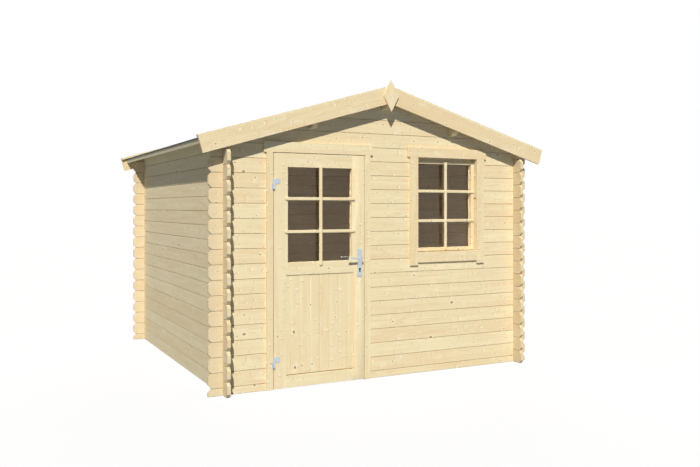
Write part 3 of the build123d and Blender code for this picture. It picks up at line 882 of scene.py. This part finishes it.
def screws(radius, places, turned=False):
    """Flat-headed screws with a round recess. They face the front, or the back when turned."""
    deselect_all()
    middle = (0, -SCREW_HEIGHT / 2, 0)
    bpy.ops.mesh.primitive_cylinder_add(
        vertices=16, radius=radius, depth=SCREW_HEIGHT, location=middle, rotation=(pi / 2, 0, 0)
    )
    screw = bpy.context.object
    screw.name = "screw"
    settle(screw)
    select_faces(screw, lambda face: face.normal.y < -0.9)
    bpy.ops.mesh.inset(thickness=radius * 0.15, depth=0)
    bpy.ops.mesh.inset(thickness=radius * 0.3, depth=0)
    bpy.ops.mesh.inset(thickness=0, depth=-SCREW_RECESS)
    bpy.ops.object.mode_set(mode="OBJECT")
    if turned:
        screw.data.transform(Matrix.Rotation(pi, 4, "Z"))
    return copies_at(screw, places)


plate_low, plate_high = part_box("door_handle_plates")
plate_x = (plate_low.x + plate_high.x) / 2
plate_heights = (plate_low.z + PLATE_SCREW_INSET, plate_high.z - PLATE_SCREW_INSET)
strap_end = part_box("hinge_straps")[1].x
pin_plate_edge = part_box("hinge_pins")[0].x
hinge_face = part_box("door_stiles")[0].y - HINGE_PLATE_THICKNESS
strap_places = [
    (strap_end - inset, hinge_face, middle + STRAP_HALF_HEIGHT + raised)
    for middle in HINGE_HEIGHTS
    for inset, raised in STRAP_SCREWS
]
pin_places = [
    (pin_plate_edge + PIN_SCREW_INSET, hinge_face, middle - STRAP_HALF_HEIGHT + raised)
    for middle in HINGE_HEIGHTS
    for raised in PIN_SCREW_RISES
]
outer_places = [(plate_x, plate_low.y, height) for height in plate_heights]
inner_places = [(plate_x, plate_high.y, height) for height in plate_heights]
strap_screws = join("strap_screws", screws(HINGE_SCREW_RADIUS, strap_places))
dress(strap_screws, ZINC, "door")
pin_screws = join("pin_screws", screws(HINGE_SCREW_RADIUS, pin_places))
dress(pin_screws, ZINC, "shed")
plate_screws = screws(PLATE_SCREW_RADIUS, outer_places)
plate_screws += screws(PLATE_SCREW_RADIUS, inner_places, turned=True)
dress(join("handle_plate_screws", plate_screws), HANDLE_METAL, "door")


def lock_cylinder(name, plate_face, outward):
    """The end of a profile cylinder: a round above a narrower web, with a key slot."""
    face = plate_face + outward * CYLINDER_PROUD
    near, far = sorted((plate_face, face))
    deselect_all()
    bpy.ops.mesh.primitive_cylinder_add(
        vertices=32,
        radius=CYLINDER_RADIUS,
        depth=far - near,
        location=(plate_x, (near + far) / 2, CYLINDER_MIDDLE),
        rotation=(pi / 2, 0, 0),
    )
    cylinder = bpy.context.object
    settle(cylinder)
    web = block(
        "web",
        (plate_x - CYLINDER_WEB_HALF_WIDTH, near, CYLINDER_FOOT),
        (plate_x + CYLINDER_WEB_HALF_WIDTH, far, CYLINDER_MIDDLE - CYLINDER_RADIUS / 2),
    )

    def at_foot(a, b):
        return max(a.z, b.z) < CYLINDER_FOOT + MERGE_DISTANCE and abs(a.y - b.y) > 0

    bevel_edges(web, at_foot, CYLINDER_FOOT_ROUNDING, 6)
    slot_middle = Vector((plate_x, face, CYLINDER_MIDDLE))
    slot_reach = Vector((KEY_SLOT_HALF_WIDTH, CYLINDER_PROUD / 2, KEY_SLOT_HALF_HEIGHT))
    key_slot = block("key_slot", slot_middle - slot_reach, slot_middle + slot_reach)
    apply_modifier(cylinder, "BOOLEAN", object=web, operation="UNION", solver="EXACT")
    apply_modifier(cylinder, "BOOLEAN", object=key_slot, operation="DIFFERENCE", solver="EXACT")
    bpy.data.objects.remove(web)
    bpy.data.objects.remove(key_slot)
    cylinder.name = name
    round_edges(cylinder, CYLINDER_ROUNDING)
    # Its nearly black metal is painted shade for the keyhole
    dress(cylinder, KEYHOLE_SHADE_STEEL, "door")


lock_cylinder("outer_lock_cylinder", plate_low.y, -1)
lock_cylinder("inner_lock_cylinder", plate_high.y, 1)


# Floor, light and camera
def sun_lamp(name, travel, strength, angle, hex_colour):
    """A sun whose light travels in one direction."""
    bpy.ops.object.light_add(type="SUN", location=-LAMP_DISTANCE * travel)
    lamp = bpy.context.object
    lamp.name = name
    lamp.rotation_euler = travel.to_track_quat("-Z", "Y").to_euler()
    lamp.data.energy = strength
    lamp.data.angle = radians(angle)
    lamp.data.color = linear(hex_colour)[:3]


def stage_and_light():
    """The floor, the lamps, the sky and the camera."""
    deselect_all()
    bpy.ops.mesh.primitive_plane_add(size=FLOOR_SIZE, location=(0, 0, 0))
    plane = bpy.context.object
    plane.name = "floor"
    plane.data.materials.append(WHITE_FLOOR)

    sun_lamp("sun", SUN_TRAVEL, SUN_STRENGTH, SUN_ANGLE, "FFFBF5")
    sun_lamp("back_fill", FILL_TRAVEL, FILL_STRENGTH, FILL_ANGLE, "FFFDFA")

    world = bpy.data.worlds.new("soft daylight")
    bpy.context.scene.world = world
    world.use_nodes = True
    tree = world.node_tree
    tree.nodes.clear()
    sky = add_node(tree, "Background", {"Color": linear(SKY_HEX), "Strength": SKY_STRENGTH})
    white = add_node(tree, "Background", {"Color": linear("FFFFFF"), "Strength": 1.0})
    shown = add_node(tree, "MixShader", {0: rays_that_see_the_background(tree), 1: sky, 2: white})
    add_node(tree, "OutputWorld", {"Surface": shown})

    bpy.ops.object.camera_add(location=CAMERA_PLACE, rotation=(pi / 2, 0, radians(CAMERA_YAW)))
    camera = bpy.context.object
    camera.name = "camera"
    camera.data.lens = CAMERA_LENS
    camera.data.sensor_width = CAMERA_SENSOR
    camera.data.shift_y = CAMERA_SHIFT_Y
    camera.data.clip_end = 200
    bpy.context.scene.camera = camera


stage_and_light()
bpy.context.scene.view_settings.view_transform = "Standard"
